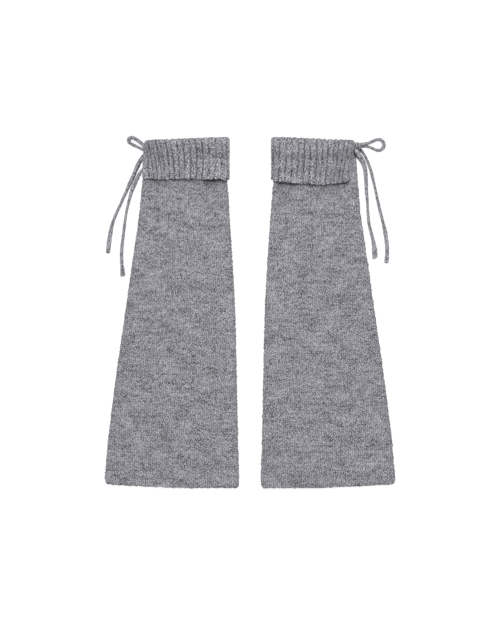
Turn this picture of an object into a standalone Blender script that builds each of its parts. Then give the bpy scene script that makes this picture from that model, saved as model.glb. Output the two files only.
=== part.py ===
"""A pair of knitted leg warmers, laid flat side by side with their cuffs the same way.

Each leg is a front and a back panel, wider at the hem, sewn along both sides. A rib cuff is
sewn to its top and folded down outside it. The turned-down flap is left open at the outer side.
A knitted drawstring runs round the leg under the flap and comes out at that slit, where it is
tied in a half bow: one loop and two free tails.

Frame: +X to the right, +Y from the hems to the cuffs, +Z up from the table. The origin is on the
table, midway between the two legs. The tables below are in millimetres. A place is given as
"out", its distance from the pair's middle line, and "down", its distance below the fold's top.
"""

import math
from collections import namedtuple

import bmesh
import bpy
from mathutils import Vector

MM = 0.001

# Driving dimensions, in millimetres
LAID_LENGTH = 490.0  # from the fold of the cuff to the hem
TOP = LAID_LENGTH / 2
WALL = 2.2  # thickness of the knit
GAP = 0.3  # between pieces at a seam, and between layers that touch
JOIN = 40.0  # where the rib is sewn to the leg, hidden under the flap
BACK_FLAP_HEM = 58.0  # the back's flap has a straight hem
HEM_RISE = 6.2  # the hem's outer corner lies this much higher than its inner one
HEM_RISE_FROM = 0.3  # share of the hem's width where that rise begins
HEM_RISE_POWER = 1.5

# The fold along each side of a flattened tube: straight to the seam, then a curl
CURL_RADIUS = 1.35  # of the middle of the wall
CURL_START = 0.55  # height above the seam where the curl begins
CURL_ANGLES = (0.0, 30.0, 60.0, 90.0)
HALF_FOLD = CURL_START + CURL_RADIUS
SINK = 2 * HALF_FOLD - WALL - GAP  # how far the front sinks onto the back between the folds
SINK_WIDTH = 20.0

# The fold along the top of the cuff
FOLD_RADIUS = 1.7
FOLD_STEPS = 6
FOLD_CENTRE = FOLD_RADIUS + WALL / 2
FOLD_CORNER = 2.5
CORNER_DEPTH = 0.5  # share of a corner's length that it takes off the side
CORNER_ROWS = (1.0, 0.35, 0.0)  # distances of the last rows from the end, as shares of the corner

# The cord
CORD = 4.2  # diameter
CORD_LEVEL = 14.0  # how far below the fold it runs
RUN_THICKNESS = 2.2  # pressed flat between the rib and its flap
RUN_WIDTH = 5.0
KNOT = Vector((4.4, 4.9, 4.2))  # half sizes
KNOT_HEIGHT = 7.95
LOOP_SPACING = CORD  # between the points of its tube, where it bends most
TAIL_SPACING = 2.4 * CORD
STEPS_BETWEEN_STOPS = 12

# Columns across a panel: the distances of the flat ones from the start of either side's curl
NEAR_EDGE = (0.0, 6.0, 13.0, 21.0)
CURL_COLUMNS = len(CURL_ANGLES)
FLAT_COLUMNS = 2 * len(NEAR_EDGE)
PANEL_COLUMNS = FLAT_COLUMNS + 2 * CURL_COLUMNS

# Rows along the panels, by their distance down
LEG_ROWS = (JOIN + 2 * GAP, 50, 58, 64, 70, 77, 86, 110, 150, 200, 255, 310, 365, 420, 460)
BAND_ROWS = (JOIN, 32, 26, 20, 15, 10, 6)
FLAP_ROWS = (6, 10, 15, 20, 26, 34, 45)

COLOUR = (0.27, 0.272, 0.292)

Leg = namedtuple("Leg", "down inner outer")
Level = namedtuple("Level", "down height")
Edge = namedtuple("Edge", "down out")
Hem = namedtuple("Hem", "out down")
Stop = namedtuple("Stop", "out down height")

# Outline of the legs, outside the wall
LEGS = (
    Leg(0, 33.6, 150.0),
    Leg(40, 32.6, 150.0),
    Leg(64, 31.5, 151.2),
    Leg(109, 29.0, 155.4),
    Leg(176, 24.5, 165.2),
    Leg(244, 21.0, 174.7),
    Leg(333, 18.9, 187.6),
    Leg(423, 17.0, 198.8),
    Leg(456, 16.0, 201.7),
    Leg(490, 15.4, 204.8),
)
HEM_CORNERS = (5.0, 9.0)  # inner and outer

# From the middle of the inner layer's wall to the middle of the flap's: wide at the cord
FLAP_OFFSET = (
    Level(0, 3.4),
    Level(4, 3.8),
    Level(8.5, 5.1),
    Level(19.5, 5.1),
    Level(28, 3.3),
    Level(38, 2.6),
    Level(62, 2.55),
)
# How far the leg's back is held off the table by the flap under it
LEG_LIFT = (Level(58, 2.55), Level(62, 2.45), Level(74, 1.0), Level(86, 0.0), Level(100, 0.0))

# The fold's top edge drops towards the outer side
TOP_EDGE = (Hem(30, 0.0), Hem(80, 0.3), Hem(119, 2.2), Hem(146, 3.8), Hem(152, 4.0))


# One leg warmer: way is -1 on the left and 1 on the right, and run_end is how far round the
# outer curl, in degrees above the seam, the hidden cord goes before it meets the knot
Side = namedtuple(
    "Side",
    "name way band_inner band_outer flap_outer back_flap_outer flap_hem flap_corner knot run_end cords",
)

LEFT = Side(
    name="left",
    way=-1,
    # Edges of the rib's inner layer, drawn in by the cord
    band_inner=(
        Edge(0, 32.0),
        Edge(4, 32.4),
        Edge(8.5, 33.6),
        Edge(19.5, 33.6),
        Edge(28, 31.9),
        Edge(38, 31.2),
        Edge(56, 31.2),
        Edge(64, 31.8),
        Edge(73, 31.0),
        Edge(86, 30.0),
        Edge(109, 29.0),
    ),
    band_outer=(
        Edge(0, 139.5),
        Edge(8, 138.0),
        Edge(22, 138.0),
        Edge(34, 140.4),
        Edge(44, 144.6),
        Edge(54, 149.3),
        Edge(66, 151.3),
    ),
    flap_outer=(Edge(2, 145.0), Edge(9, 148.7), Edge(21, 149.1), Edge(38, 149.8), Edge(60, 150.6)),
    back_flap_outer=(Edge(2, 145.0), Edge(9, 147.0), Edge(60, 147.0)),
    flap_hem=(
        Hem(29, 58.4),
        Hem(36, 59.6),
        Hem(40, 58.0),
        Hem(46, 56.6),
        Hem(56, 58.0),
        Hem(80, 56.8),
        Hem(130, 56.7),
        Hem(151, 55.4),
    ),
    flap_corner=4.0,
    knot=Stop(143.5, 15.5, KNOT_HEIGHT),
    run_end=28.0,
    cords={
        "loop": (
            Stop(147.7, 12.5, 9.0),
            Stop(150.8, 8.8, 9.2),
            Stop(155.4, 4.6, 9.0),
            Stop(160.2, 1.4, 8.4),
            Stop(164.4, -0.4, 7.5),
            Stop(168.0, -0.1, 6.2),
            Stop(169.9, 2.2, 4.9),
            Stop(169.4, 5.2, 3.6),
            Stop(166.6, 7.8, 2.7),
            Stop(161.6, 10.3, 2.3),
            Stop(155.6, 13.2, 2.9),
            Stop(151.0, 15.6, 4.3),
            Stop(148.4, 17.1, 5.25),
        ),
        "tail_outer": (
            Stop(145.4, 21.1, 9.6),
            Stop(149.8, 26.6, 7.4),
            Stop(154.5, 32.9, 5.2),
            Stop(157.8, 39.2, 3.6),
            Stop(160.6, 45.5, 2.6),
            Stop(163.0, 51.5, 2.2),
            Stop(166.4, 58.8, 2.15),
            Stop(170.0, 66.5, 2.15),
            Stop(173.2, 74.2, 2.15),
            Stop(176.6, 81.2, 2.15),
            Stop(181.5, 92.4, 2.15),
            Stop(186.7, 103.6, 2.15),
            Stop(191.3, 114.8, 2.15),
            Stop(194.5, 126.0, 2.15),
            Stop(196.4, 137.2, 2.15),
            Stop(198.0, 148.4, 2.15),
            Stop(199.2, 161.0, 2.15),
        ),
        "tail_inner": (
            Stop(141.7, 20.5, 4.8),
            Stop(142.3, 28.0, 4.6),
            Stop(144.4, 34.5, 4.6),
            Stop(147.0, 40.0, 4.6),
            Stop(150.3, 44.4, 4.5),
            Stop(154.0, 48.6, 3.8),
            Stop(157.5, 54.6, 2.8),
            Stop(161.4, 63.0, 2.15),
            Stop(164.9, 71.5, 2.15),
            Stop(168.0, 81.2, 2.15),
            Stop(170.9, 92.4, 2.15),
            Stop(173.3, 103.6, 2.15),
            Stop(175.1, 114.8, 2.15),
            Stop(176.5, 126.0, 2.15),
            Stop(177.8, 137.2, 2.15),
            Stop(179.1, 148.4, 2.15),
            Stop(179.9, 159.6, 2.15),
            Stop(179.6, 170.8, 2.15),
            Stop(178.3, 182.0, 2.15),
            Stop(177.4, 192.5, 2.15),
        ),
    },
)

RIGHT = Side(
    name="right",
    way=1,
    band_inner=(
        Edge(0, 33.1),
        Edge(4, 33.6),
        Edge(8.5, 34.8),
        Edge(19.5, 34.8),
        Edge(28, 33.0),
        Edge(38, 32.4),
        Edge(56, 32.4),
        Edge(64, 32.8),
        Edge(73, 31.8),
        Edge(86, 30.8),
        Edge(109, 29.0),
    ),
    band_outer=(
        Edge(0, 146.0),
        Edge(8, 144.0),
        Edge(20, 144.2),
        Edge(26, 146.8),
        Edge(32, 149.0),
        Edge(42, 149.9),
        Edge(66, 151.0),
    ),
    flap_outer=(
        Edge(2, 143.2),
        Edge(9, 146.0),
        Edge(18, 143.8),
        Edge(31, 143.4),
        Edge(45, 141.6),
        Edge(64, 140.4),
    ),
    back_flap_outer=(Edge(2, 143.2), Edge(9, 146.0), Edge(16, 148.0), Edge(60, 148.0)),
    flap_hem=(
        Hem(29, 59.0),
        Hem(36, 60.6),
        Hem(50, 61.6),
        Hem(84, 64.2),
        Hem(100, 64.8),
        Hem(126, 62.4),
        Hem(141, 59.8),
    ),
    flap_corner=6.0,
    knot=Stop(151.1, 10.8, KNOT_HEIGHT),
    run_end=3.0,
    cords={
        "loop": (
            Stop(155.9, 9.1, 8.9),
            Stop(162.4, 8.0, 8.4),
            Stop(167.8, 6.4, 7.2),
            Stop(172.5, 4.2, 5.6),
            Stop(177.2, 2.3, 4.0),
            Stop(182.4, 2.0, 2.8),
            Stop(186.3, 4.8, 2.2),
            Stop(187.9, 9.6, 2.15),
            Stop(186.1, 14.2, 2.15),
            Stop(181.4, 16.9, 2.15),
            Stop(175.5, 15.8, 2.3),
            Stop(169.3, 13.0, 2.9),
            Stop(162.4, 11.3, 4.1),
            Stop(155.7, 11.8, 5.5),
        ),
        "tail_inner": (
            Stop(147.6, 16.3, 9.5),
            Stop(150.2, 21.0, 8.4),
            Stop(153.9, 25.6, 7.2),
            Stop(157.2, 31.5, 5.6),
            Stop(160.0, 38.5, 4.0),
            Stop(161.8, 46.2, 2.8),
            Stop(162.5, 55.3, 2.2),
            Stop(163.0, 64.4, 2.15),
            Stop(163.4, 75.6, 2.15),
            Stop(164.5, 86.8, 2.15),
            Stop(165.1, 98.0, 2.15),
            Stop(165.8, 109.2, 2.15),
            Stop(167.1, 120.4, 2.15),
            Stop(169.8, 131.6, 2.15),
            Stop(172.6, 142.8, 2.15),
            Stop(174.4, 154.0, 2.15),
            Stop(175.4, 168.5, 2.15),
        ),
        "tail_outer": (
            Stop(153.3, 15.5, 6.2),
            Stop(158.2, 20.4, 5.2),
            Stop(162.0, 26.6, 4.2),
            Stop(165.2, 33.6, 3.2),
            Stop(168.0, 40.6, 2.5),
            Stop(170.5, 49.0, 2.15),
            Stop(172.9, 58.8, 2.15),
            Stop(175.5, 70.0, 2.15),
            Stop(177.8, 81.2, 2.15),
            Stop(180.3, 92.4, 2.15),
            Stop(182.9, 103.6, 2.15),
            Stop(185.8, 114.8, 2.15),
            Stop(188.4, 126.0, 2.15),
            Stop(190.5, 137.2, 2.15),
            Stop(191.9, 148.4, 2.15),
            Stop(192.3, 159.6, 2.15),
            Stop(191.4, 174.5, 2.15),
        ),
    },
)


def clear_scene():
    for obj in list(bpy.data.objects):
        bpy.data.objects.remove(obj, do_unlink=True)


def knit_material(name, roughness):
    material = bpy.data.materials.new(name)
    material.use_nodes = True
    shader = material.node_tree.nodes["Principled BSDF"]
    shader.inputs["Base Color"].default_value = (*COLOUR, 1.0)
    shader.inputs["Roughness"].default_value = roughness
    shader.inputs["Metallic"].default_value = 0.0
    return material


def mix(start, end, share):
    return start + (end - start) * share


def ease(share):
    share = min(max(share, 0.0), 1.0)
    return share * share * (3 - 2 * share)


def read(table, place, column=1):
    """A column of a table at a place of its first column, on a smooth curve through the rows."""
    if place <= table[0][0]:
        return table[0][column]
    if place >= table[-1][0]:
        return table[-1][column]
    last = max(i for i, row in enumerate(table) if row[0] <= place)
    before, after = table[last], table[last + 1]
    width = after[0] - before[0]

    def slope(i):
        low, high = table[max(i - 1, 0)], table[min(i + 1, len(table) - 1)]
        return (high[column] - low[column]) / (high[0] - low[0])

    t = (place - before[0]) / width
    return (
        before[column] * (1 + 2 * t) * (1 - t) ** 2
        + after[column] * t * t * (3 - 2 * t)
        + slope(last) * width * t * (1 - t) ** 2
        - slope(last + 1) * width * t * t * (1 - t)
    )


def rounded(from_end, size):
    """How far a round corner takes an edge in, at this distance from the edge's end."""
    return CORNER_DEPTH * size * max(0.0, 1 - from_end / size) ** 2


def flap_offset(down):
    return read(FLAP_OFFSET, down)


def seam_height(down):
    """Height of the side seams: half way up the flattened tube."""
    lift = flap_offset(down) if down <= LEG_LIFT[0].down else read(LEG_LIFT, down)
    return WALL / 2 + lift + HALF_FOLD


def hem_down(share):
    rise = max(0.0, (share - HEM_RISE_FROM) / (1 - HEM_RISE_FROM))
    return LAID_LENGTH - HEM_RISE * rise**HEM_RISE_POWER


def tube_edges(side, down):
    """Where the curls of a tube's two sides begin: the middle of each curl's arc."""
    inner, outer = read(LEGS, down, 1), read(LEGS, down, 2)
    if down < side.band_inner[-1].down:
        inner = read(side.band_inner, down)
    if down < side.band_outer[-1].down:
        outer = read(side.band_outer, down)
    inset = WALL / 2 + CURL_RADIUS
    return inner + inset, outer - inset


def sink(out, start, end):
    """How far the front lies below its side folds."""
    return SINK * ease(min(out - start, end - out) / SINK_WIDTH)


def flat_out(column, start, end):
    """Distance out of a flat column, from 0 to FLAT_COLUMNS, between the two curls."""
    steps = NEAR_EDGE
    if column < len(steps):
        return start + steps[column]
    if column > FLAT_COLUMNS - len(steps):
        return end - steps[FLAT_COLUMNS - column]
    return (start + end) / 2


def tube_point(side, half, column, down, edges, offset=0.0, free_end=None):
    """A point of a flattened tube's front (half 1) or back (half -1), or of what lies offset on it.

    Columns run from the inner seam to the outer one. With free_end, the flat stretch ends there.
    """
    start, end = edges
    radius = CURL_RADIUS + offset
    curl = None
    if column < CURL_COLUMNS:
        curl, centre, way = column, start, -1
    elif column > CURL_COLUMNS + FLAT_COLUMNS:
        curl, centre, way = PANEL_COLUMNS - column, end, 1
    if curl is None:
        stop = end if free_end is None else free_end
        out = flat_out(column - CURL_COLUMNS, start, stop)
        rise = CURL_START + radius
        if half > 0:
            rise -= sink(out, start, end)
    elif curl == 0:
        out, rise = centre + way * radius, GAP / 2
    else:
        angle = math.radians(CURL_ANGLES[curl - 1])
        out = centre + way * radius * math.cos(angle)
        rise = CURL_START + radius * math.sin(angle)
    return side.way * out, TOP - down, seam_height(down) + half * rise


def cloth(name, columns, rows, point, material, holder, left_out=None):
    """A wall of knit: a grid with its points placed one by one, made solid to the wall's thickness."""
    grid = bmesh.new()
    bmesh.ops.create_grid(grid, x_segments=columns, y_segments=rows, size=0.5)
    places = {v: (round((v.co.x + 0.5) * columns), round((v.co.y + 0.5) * rows)) for v in grid.verts}
    if left_out:
        unwanted = [f for f in grid.faces if all(left_out(*places[v]) for v in f.verts)]
        bmesh.ops.delete(grid, geom=unwanted, context="FACES")
    for vertex in grid.verts:
        vertex.co = Vector(point(*places[vertex])) * MM
    mesh = bpy.data.meshes.new(name)
    grid.to_mesh(mesh)
    grid.free()
    mesh.shade_smooth()
    mesh.materials.append(material)
    panel = bpy.data.objects.new(name, mesh)
    holder.objects.link(panel)
    wall = panel.modifiers.new("Wall", "SOLIDIFY")
    wall.thickness = WALL * MM
    wall.offset = 0.0
    return panel


def leg_panel(side, half, material, holder):
    """Front or back of a leg, from the rib to the hem."""
    ends = [max(HEM_CORNERS) * share for share in CORNER_ROWS]
    rows = len(LEG_ROWS) + len(ends) - 1

    def point(column, row):
        share = min(max((column - CURL_COLUMNS) / FLAT_COLUMNS, 0.0), 1.0)
        hem = hem_down(share)
        down = LEG_ROWS[row] if row < len(LEG_ROWS) else hem - ends[row - len(LEG_ROWS)]
        start, end = tube_edges(side, down)
        start += rounded(hem - down, HEM_CORNERS[0])
        end -= rounded(hem - down, HEM_CORNERS[1])
        return tube_point(side, half, column, down, (start, end))

    name = f"{side.name}_leg_{'front' if half > 0 else 'back'}"
    return cloth(name, PANEL_COLUMNS, rows, point, material, holder)


def cuff_panel(side, half, material, holder):
    """Front or back of the rib: up inside, over the fold, and down again as the flap."""
    ends = [side.flap_corner * share for share in CORNER_ROWS]
    fold_start = len(BAND_ROWS)
    flap_start = fold_start + FOLD_STEPS + 1
    rows = flap_start + len(FLAP_ROWS) + len(ends) - 1
    slit = CURL_COLUMNS + FLAT_COLUMNS

    def flap_hem(out):
        return read(side.flap_hem, out) if half > 0 else BACK_FLAP_HEM

    def flap_outer(down):
        return read(side.flap_outer if half > 0 else side.back_flap_outer, down)

    def below_fold(nominal, out):
        drop = read(TOP_EDGE, out)
        return nominal + drop * max(0.0, 1 - nominal / JOIN)

    def point(column, row):
        start, end = tube_edges(side, JOIN)
        flat = min(max(column - CURL_COLUMNS, 0), FLAT_COLUMNS)
        out = flat_out(flat, start, end)
        if row < fold_start:
            down = below_fold(BAND_ROWS[row], out)
            return tube_point(side, half, column, down, tube_edges(side, down))
        if row < flap_start:
            angle = math.pi * (row - fold_start) / FOLD_STEPS
            down = below_fold(FOLD_CENTRE, out) - FOLD_RADIUS * math.sin(angle)
            start, end = tube_edges(side, down)
            start += rounded(FOLD_RADIUS * (1 - math.sin(angle)), FOLD_CORNER)
            turned = (1 - math.cos(angle)) / 2
            free_end = mix(end, flap_outer(below_fold(FOLD_CENTRE, out)), turned)
            offset = turned * flap_offset(down)
            return tube_point(side, half, column, down, (start, end), offset, free_end)
        row -= flap_start
        if row < len(FLAP_ROWS):
            from_hem = ends[0]
            down = below_fold(FLAP_ROWS[row], out)
        else:
            from_hem = ends[row - len(FLAP_ROWS)]
            down = flap_hem(out) - from_hem
        free_end = flap_outer(down) - rounded(from_hem, side.flap_corner)
        return tube_point(side, half, column, down, tube_edges(side, down), flap_offset(down), free_end)

    def beside_slit(column, row):
        return column >= slit and row >= fold_start

    name = f"{side.name}_cuff_{'front' if half > 0 else 'back'}"
    return cloth(name, PANEL_COLUMNS, rows, point, material, holder, beside_slit)


def curve_object(name, points, material, holder, **settings):
    """A tube along straight runs between points."""
    curve = bpy.data.curves.new(name, "CURVE")
    for setting, value in settings.items():
        setattr(curve, setting, value)
    curve.use_fill_caps = True
    spline = curve.splines.new("POLY")
    spline.points.add(len(points) - 1)
    for target, place in zip(spline.points, points):
        target.co = (*(Vector(place) * MM), 1.0)
    spline.use_smooth = True
    curve.materials.append(material)
    tube = bpy.data.objects.new(name, curve)
    holder.objects.link(tube)
    return tube


def smooth_route(stops, spacing):
    """Points at even spacing on a smooth curve through a cord's stops."""
    fine = []
    for i in range(len(stops) - 1):
        a, b = stops[i], stops[i + 1]
        before = stops[max(i - 1, 0)]
        after = stops[min(i + 2, len(stops) - 1)]
        for step in range(STEPS_BETWEEN_STOPS):
            t = step / STEPS_BETWEEN_STOPS
            fine.append(
                0.5
                * (
                    2 * a
                    + (b - before) * t
                    + (2 * before - 5 * a + 4 * b - after) * t * t
                    + (3 * a - before - 3 * b + after) * t**3
                )
            )
    fine.append(stops[-1])
    travelled = [0.0]
    for a, b in zip(fine, fine[1:]):
        travelled.append(travelled[-1] + (b - a).length)
    pieces = max(2, round(travelled[-1] / spacing))
    route = []
    for i in range(pieces + 1):
        wanted = travelled[-1] * i / pieces
        at = min(max(j for j, d in enumerate(travelled) if d <= wanted), len(fine) - 2)
        share = (wanted - travelled[at]) / (travelled[at + 1] - travelled[at])
        route.append(fine[at].lerp(fine[at + 1], share))
    return route


def free_cord(side, kind, material, holder):
    """The loop or a tail, from the knot along the table."""
    stops = [Vector((side.way * s.out, TOP - s.down, s.height)) for s in side.cords[kind]]
    spacing = LOOP_SPACING if kind == "loop" else TAIL_SPACING
    return curve_object(
        f"{side.name}_{kind}",
        smooth_route(stops, spacing),
        material,
        holder,
        dimensions="3D",
        bevel_depth=CORD / 2 * MM,
        bevel_resolution=2,
    )


def hidden_cord(side, material, holder):
    """The drawstring round the leg, pressed flat between the rib and its flap."""
    start, end = tube_edges(side, CORD_LEVEL)
    out_by = CURL_RADIUS + flap_offset(CORD_LEVEL) / 2
    middle = seam_height(CORD_LEVEL)

    def arc(centre, way, half, angles):
        for degrees in angles:
            angle = math.radians(degrees)
            height = CURL_START + out_by * math.sin(angle)
            yield centre + way * out_by * math.cos(angle), middle + half * height

    def flat(half):
        for column in range(1, FLAT_COLUMNS):
            out = flat_out(column, start, end)
            dip = sink(out, start, end) if half > 0 else 0.0
            yield out, middle + half * (CURL_START + out_by - dip)

    outer_angles = [mix(side.run_end, 90, i / 3) for i in range(4)]
    inner_angles = [0, 22.5, 45, 67.5, 90]
    front = [*arc(end, 1, 1, outer_angles), *reversed(list(flat(1)))]
    front += arc(start, -1, 1, reversed(inner_angles))
    back = [*arc(start, -1, -1, inner_angles), *flat(-1)]
    back += arc(end, 1, -1, reversed(outer_angles))
    run = curve_object(
        f"{side.name}_drawstring_run",
        [(side.way * out, height, 0.0) for out, height in front + back],
        material,
        holder,
        dimensions="2D",
        fill_mode="NONE",
        bevel_depth=RUN_THICKNESS / 2 * MM,
        extrude=(RUN_WIDTH - RUN_THICKNESS) / 2 * MM,
        bevel_resolution=1,
    )
    run.rotation_euler = (math.pi / 2, 0, 0)
    run.location = (0, (TOP - CORD_LEVEL) * MM, 0)
    return run


def knot(side, material, holder):
    """The half bow's knot."""
    ball = bmesh.new()
    bmesh.ops.create_uvsphere(ball, u_segments=16, v_segments=10, radius=1.0)
    bmesh.ops.scale(ball, vec=KNOT * MM, verts=ball.verts)
    mesh = bpy.data.meshes.new(f"{side.name}_knot")
    ball.to_mesh(mesh)
    ball.free()
    mesh.shade_smooth()
    mesh.materials.append(material)
    tied = bpy.data.objects.new(f"{side.name}_knot", mesh)
    at = side.knot
    tied.location = Vector((side.way * at.out, TOP - at.down, at.height)) * MM
    holder.objects.link(tied)
    return tied


def leg_warmer(side, knit, rib, string, holder):
    for half in (1, -1):
        leg_panel(side, half, knit, holder)
        cuff_panel(side, half, rib, holder)
    hidden_cord(side, string, holder)
    knot(side, string, holder)
    for kind in side.cords:
        free_cord(side, kind, string, holder)


def main():
    clear_scene()
    pair = bpy.data.collections.new("Leg warmers")
    bpy.context.scene.collection.children.link(pair)
    knit = knit_material("plain knit", 0.95)
    rib = knit_material("rib knit", 0.95)
    string = knit_material("knitted cord", 0.9)
    for side in (LEFT, RIGHT):
        leg_warmer(side, knit, rib, string, pair)


main()
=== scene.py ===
"""The looks of a pair of knitted leg warmers, laid flat on a pale floor and seen from above.

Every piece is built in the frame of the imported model: metres, +X to the right, +Y from the hems
to the cuffs, +Z up. The tables are in millimetres. "Out" is a distance from the pair's middle
line, "down" is a distance below the fold's top, and height is above the floor.
"""

import math
from collections import namedtuple
import bpy
import numpy as np
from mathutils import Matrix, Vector


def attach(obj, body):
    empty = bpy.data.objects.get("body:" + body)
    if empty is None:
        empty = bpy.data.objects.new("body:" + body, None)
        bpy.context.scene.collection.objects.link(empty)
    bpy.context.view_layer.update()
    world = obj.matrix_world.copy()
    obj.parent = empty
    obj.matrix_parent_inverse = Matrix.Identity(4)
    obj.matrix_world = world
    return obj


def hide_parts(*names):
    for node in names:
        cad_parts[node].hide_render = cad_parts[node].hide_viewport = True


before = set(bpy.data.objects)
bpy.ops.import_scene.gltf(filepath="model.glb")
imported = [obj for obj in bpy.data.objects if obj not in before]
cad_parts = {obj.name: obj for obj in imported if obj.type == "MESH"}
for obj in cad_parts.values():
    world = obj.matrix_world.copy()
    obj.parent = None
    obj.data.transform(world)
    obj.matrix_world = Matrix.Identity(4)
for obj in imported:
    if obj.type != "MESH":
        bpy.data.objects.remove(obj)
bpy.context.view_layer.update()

MM = 0.001

# ---- sizes
# The CAD source's, but for those whose comment names its value.

LAID_LENGTH = 490.0
TOP = LAID_LENGTH / 2
WALL = 2.2
JOIN = 40.0  # where the rib is sewn to the leg, hidden under the flap
BACK_FLAP_HEM = 58.0
HEM_RISE = 5.3  # the hem's outer corner lies this much higher than its inner one (CAD: 6.2)
HEM_RISE_FROM = 0.3  # share of the hem's width where that rise begins
HEM_RISE_POWER = 1.5
HEM_CORNERS = (7.0, 9.0)  # inner and outer (CAD: 5.0 and 9.0)
CORNER_DEPTH = 0.5  # share of a corner's length that it takes off the side
CURL_RADIUS = 1.35  # of the tube's two pressed sides, at the middle of the cloth
CURL_START = 0.55  # half the upright stretch between a side's two quarter turns
HALF_FOLD = CURL_START + CURL_RADIUS
SINK = 1.3  # how far the front lies down on the back between the sides
SINK_WIDTH = 20.0
FOLD_RADIUS = 1.7
FOLD_CENTRE = FOLD_RADIUS + WALL / 2
FOLD_CORNER = 2.5
CORD = 4.2
LYING = 2.15  # height of a cord on the floor
KNOT = (4.4, 4.9, 4.2)
KNOT_HEIGHT = 7.95

# (down, inner edge, outer edge) of a leg
LEGS = (
    (0, 33.6, 150.0), (40, 32.6, 150.0), (64, 31.5, 151.2), (109, 29.0, 155.4), (176, 24.5, 165.2),
    (244, 21.0, 174.7), (333, 18.9, 187.6), (423, 17.0, 198.8), (456, 16.0, 201.7),
    (490, 15.4, 204.8),
)
# (down, distance between the middles of the rib's inner layer and of its flap)
FLAP_OFFSET = ((0, 3.4), (4, 3.8), (8.5, 5.1), (19.5, 5.1), (28, 3.3), (38, 2.6), (62, 2.55))
# (down, height of the leg's back off the floor)
LEG_LIFT = ((58, 2.55), (62, 2.45), (74, 1.0), (86, 0.0), (100, 0.0))
# (out, how far the fold's top edge drops), up to 1.3 mm higher than in CAD at the inner side
TOP_EDGE = (
    (30, -1.3), (48, -1.0), (64, -0.3), (78, 0.5), (90, 1.1), (105, 1.8), (119, 2.4), (134, 3.2),
    (146, 3.8), (152, 4.2),
)

# A loop or a tail. Places along it are millimetres from its exit at the knot.
# route: (out, down, height where it isn't on the floor) of its stops, as in the CAD source
# widths: (place, share of the cord's width) where it lies slack or is pulled thin
# shade: (place, reach, depth) of its shade, and lean: of how far left of its route it lies
# edge_shade: (place, reach, depth, which) of the shade of its left edge, 1, or its right, -1
# end: length over which it rounds off, how far past its route it is cut, and how much further
#     at its left edge, as a share of half its width
NO_BUMP, ROUND_END = (0, 1, 0.0), (1.2, 0.0, 0.0)
Cord = namedtuple(
    "Cord", "route widths shade lean edge_shade end", defaults=(NO_BUMP, (*NO_BUMP, 1), ROUND_END)
)
# One of the two leg warmers.
# way: the sign of X
# band_inner, band_outer: (down, out) of the edges of the rib's inner layer
# flap_outer, back_flap_outer: (down, out) of the flap's outer edge; flap_hem: (out, down)
# lifts: (out, width, height) of the places where the flap's hem stands off the leg
# gathers: (down, reach, depth) of the shade where the flap is drawn in
# hem_shade: depth of the shade on the leg, below the flap's hem
# hem_tones: (out, width, depth) of painted shade along the leg's hem; below 0, painted light
# first_rib: share of a rib that the inner edge cuts off
# grooves_top, grooves_hem: out of the grooves between the ribs, at the fold and the flap's hem
# grooves_bow, groove_depths: how far out they bow between, and shares of the usual depth
# pattern_place: place in the yarn's random pattern
# seeds: of the random draws for the leg, the cuff and the cuff's edge
# knot, knot_tilt: (out, down), and degrees
Side = namedtuple(
    "Side",
    "name way band_inner band_outer flap_outer back_flap_outer flap_hem flap_corner lifts gathers "
    "hem_shade hem_tones first_rib grooves_top grooves_hem grooves_bow groove_depths "
    "pattern_place seeds knot knot_tilt cords",
)

LEFT_LOOP = Cord(
    route=(
        (147.7, 12.5, 9), (150.8, 8.8, 9.2), (155.4, 4.6, 9), (160.2, 1.4, 8.4), (164.4, -0.4, 7.5),
        (168, -0.1, 6.2), (169.9, 2.2, 4.9), (169.4, 5.2, 3.6), (166.6, 7.8, 2.7),
        (161.6, 10.3, 2.3), (155.6, 13.2, 2.9), (151, 15.6, 4.3), (148.4, 17.1, 5.25),
    ),
    widths=((0, 1.12), (8, 1.12), (32, 1.22), (40, 1), (48, 0.9), (60, 0.92)),
    shade=(0, 4, 0.35),
)
LEFT_TAIL_OUTER = Cord(
    route=(
        (145.4, 21.1, 9.6), (149.8, 26.6, 7.4), (154.5, 32.9, 5.2), (157.8, 39.2, 3.6),
        (160.6, 45.5, 2.6), (163, 51.5, 2.2), (166.4, 58.8), (170, 66.5), (173.2, 74.2),
        (176.6, 81.2), (181.5, 92.4), (186.7, 103.6), (191.3, 114.8), (194.5, 126), (196.4, 137.2),
        (198, 148.4), (199.2, 161),
    ),
    widths=(
        (0, 1.25), (26, 1.45), (36, 1.45), (50, 1.42), (60, 1.15), (68, 1.02), (90, 0.98),
        (104, 1.08), (114, 1.15), (124, 1.38), (136, 1.45), (153, 1.45),
    ),
    shade=(0, 6, 0.35),
    edge_shade=(30, 28, 0.75, -1),
    end=(1.9, 0, 0),
)
LEFT_TAIL_INNER = Cord(
    route=(
        (141.7, 20.5, 4.8), (142.3, 28, 4.6), (144.4, 34.5, 4.6), (147, 40, 4.6),
        (150.3, 44.4, 4.5), (154, 48.6, 3.8), (157.5, 54.6, 2.8), (161.4, 63), (164.9, 71.5),
        (168, 81.2), (170.9, 92.4), (173.3, 103.6), (175.1, 114.8), (176.5, 126), (177.8, 137.2),
        (179.1, 148.4), (179.9, 159.6), (179.6, 170.8), (178.3, 182), (177.4, 192.5),
    ),
    widths=(
        (0, 1.15), (30, 1.2), (43, 1.38), (52, 1.45), (58, 1.4), (66, 1.1), (75, 1), (87, 0.88),
        (102, 0.88), (116, 1.03), (143, 1.08), (155, 1.15), (163, 1.2), (167, 1.15), (172, 1.28),
        (175, 1.5), (178, 1.7), (182, 1.85),
    ),
    shade=(0, 6, 0.35),
    lean=(180, 24, 0.9),
    end=(0.7, 0.3, 0),
)
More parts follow.
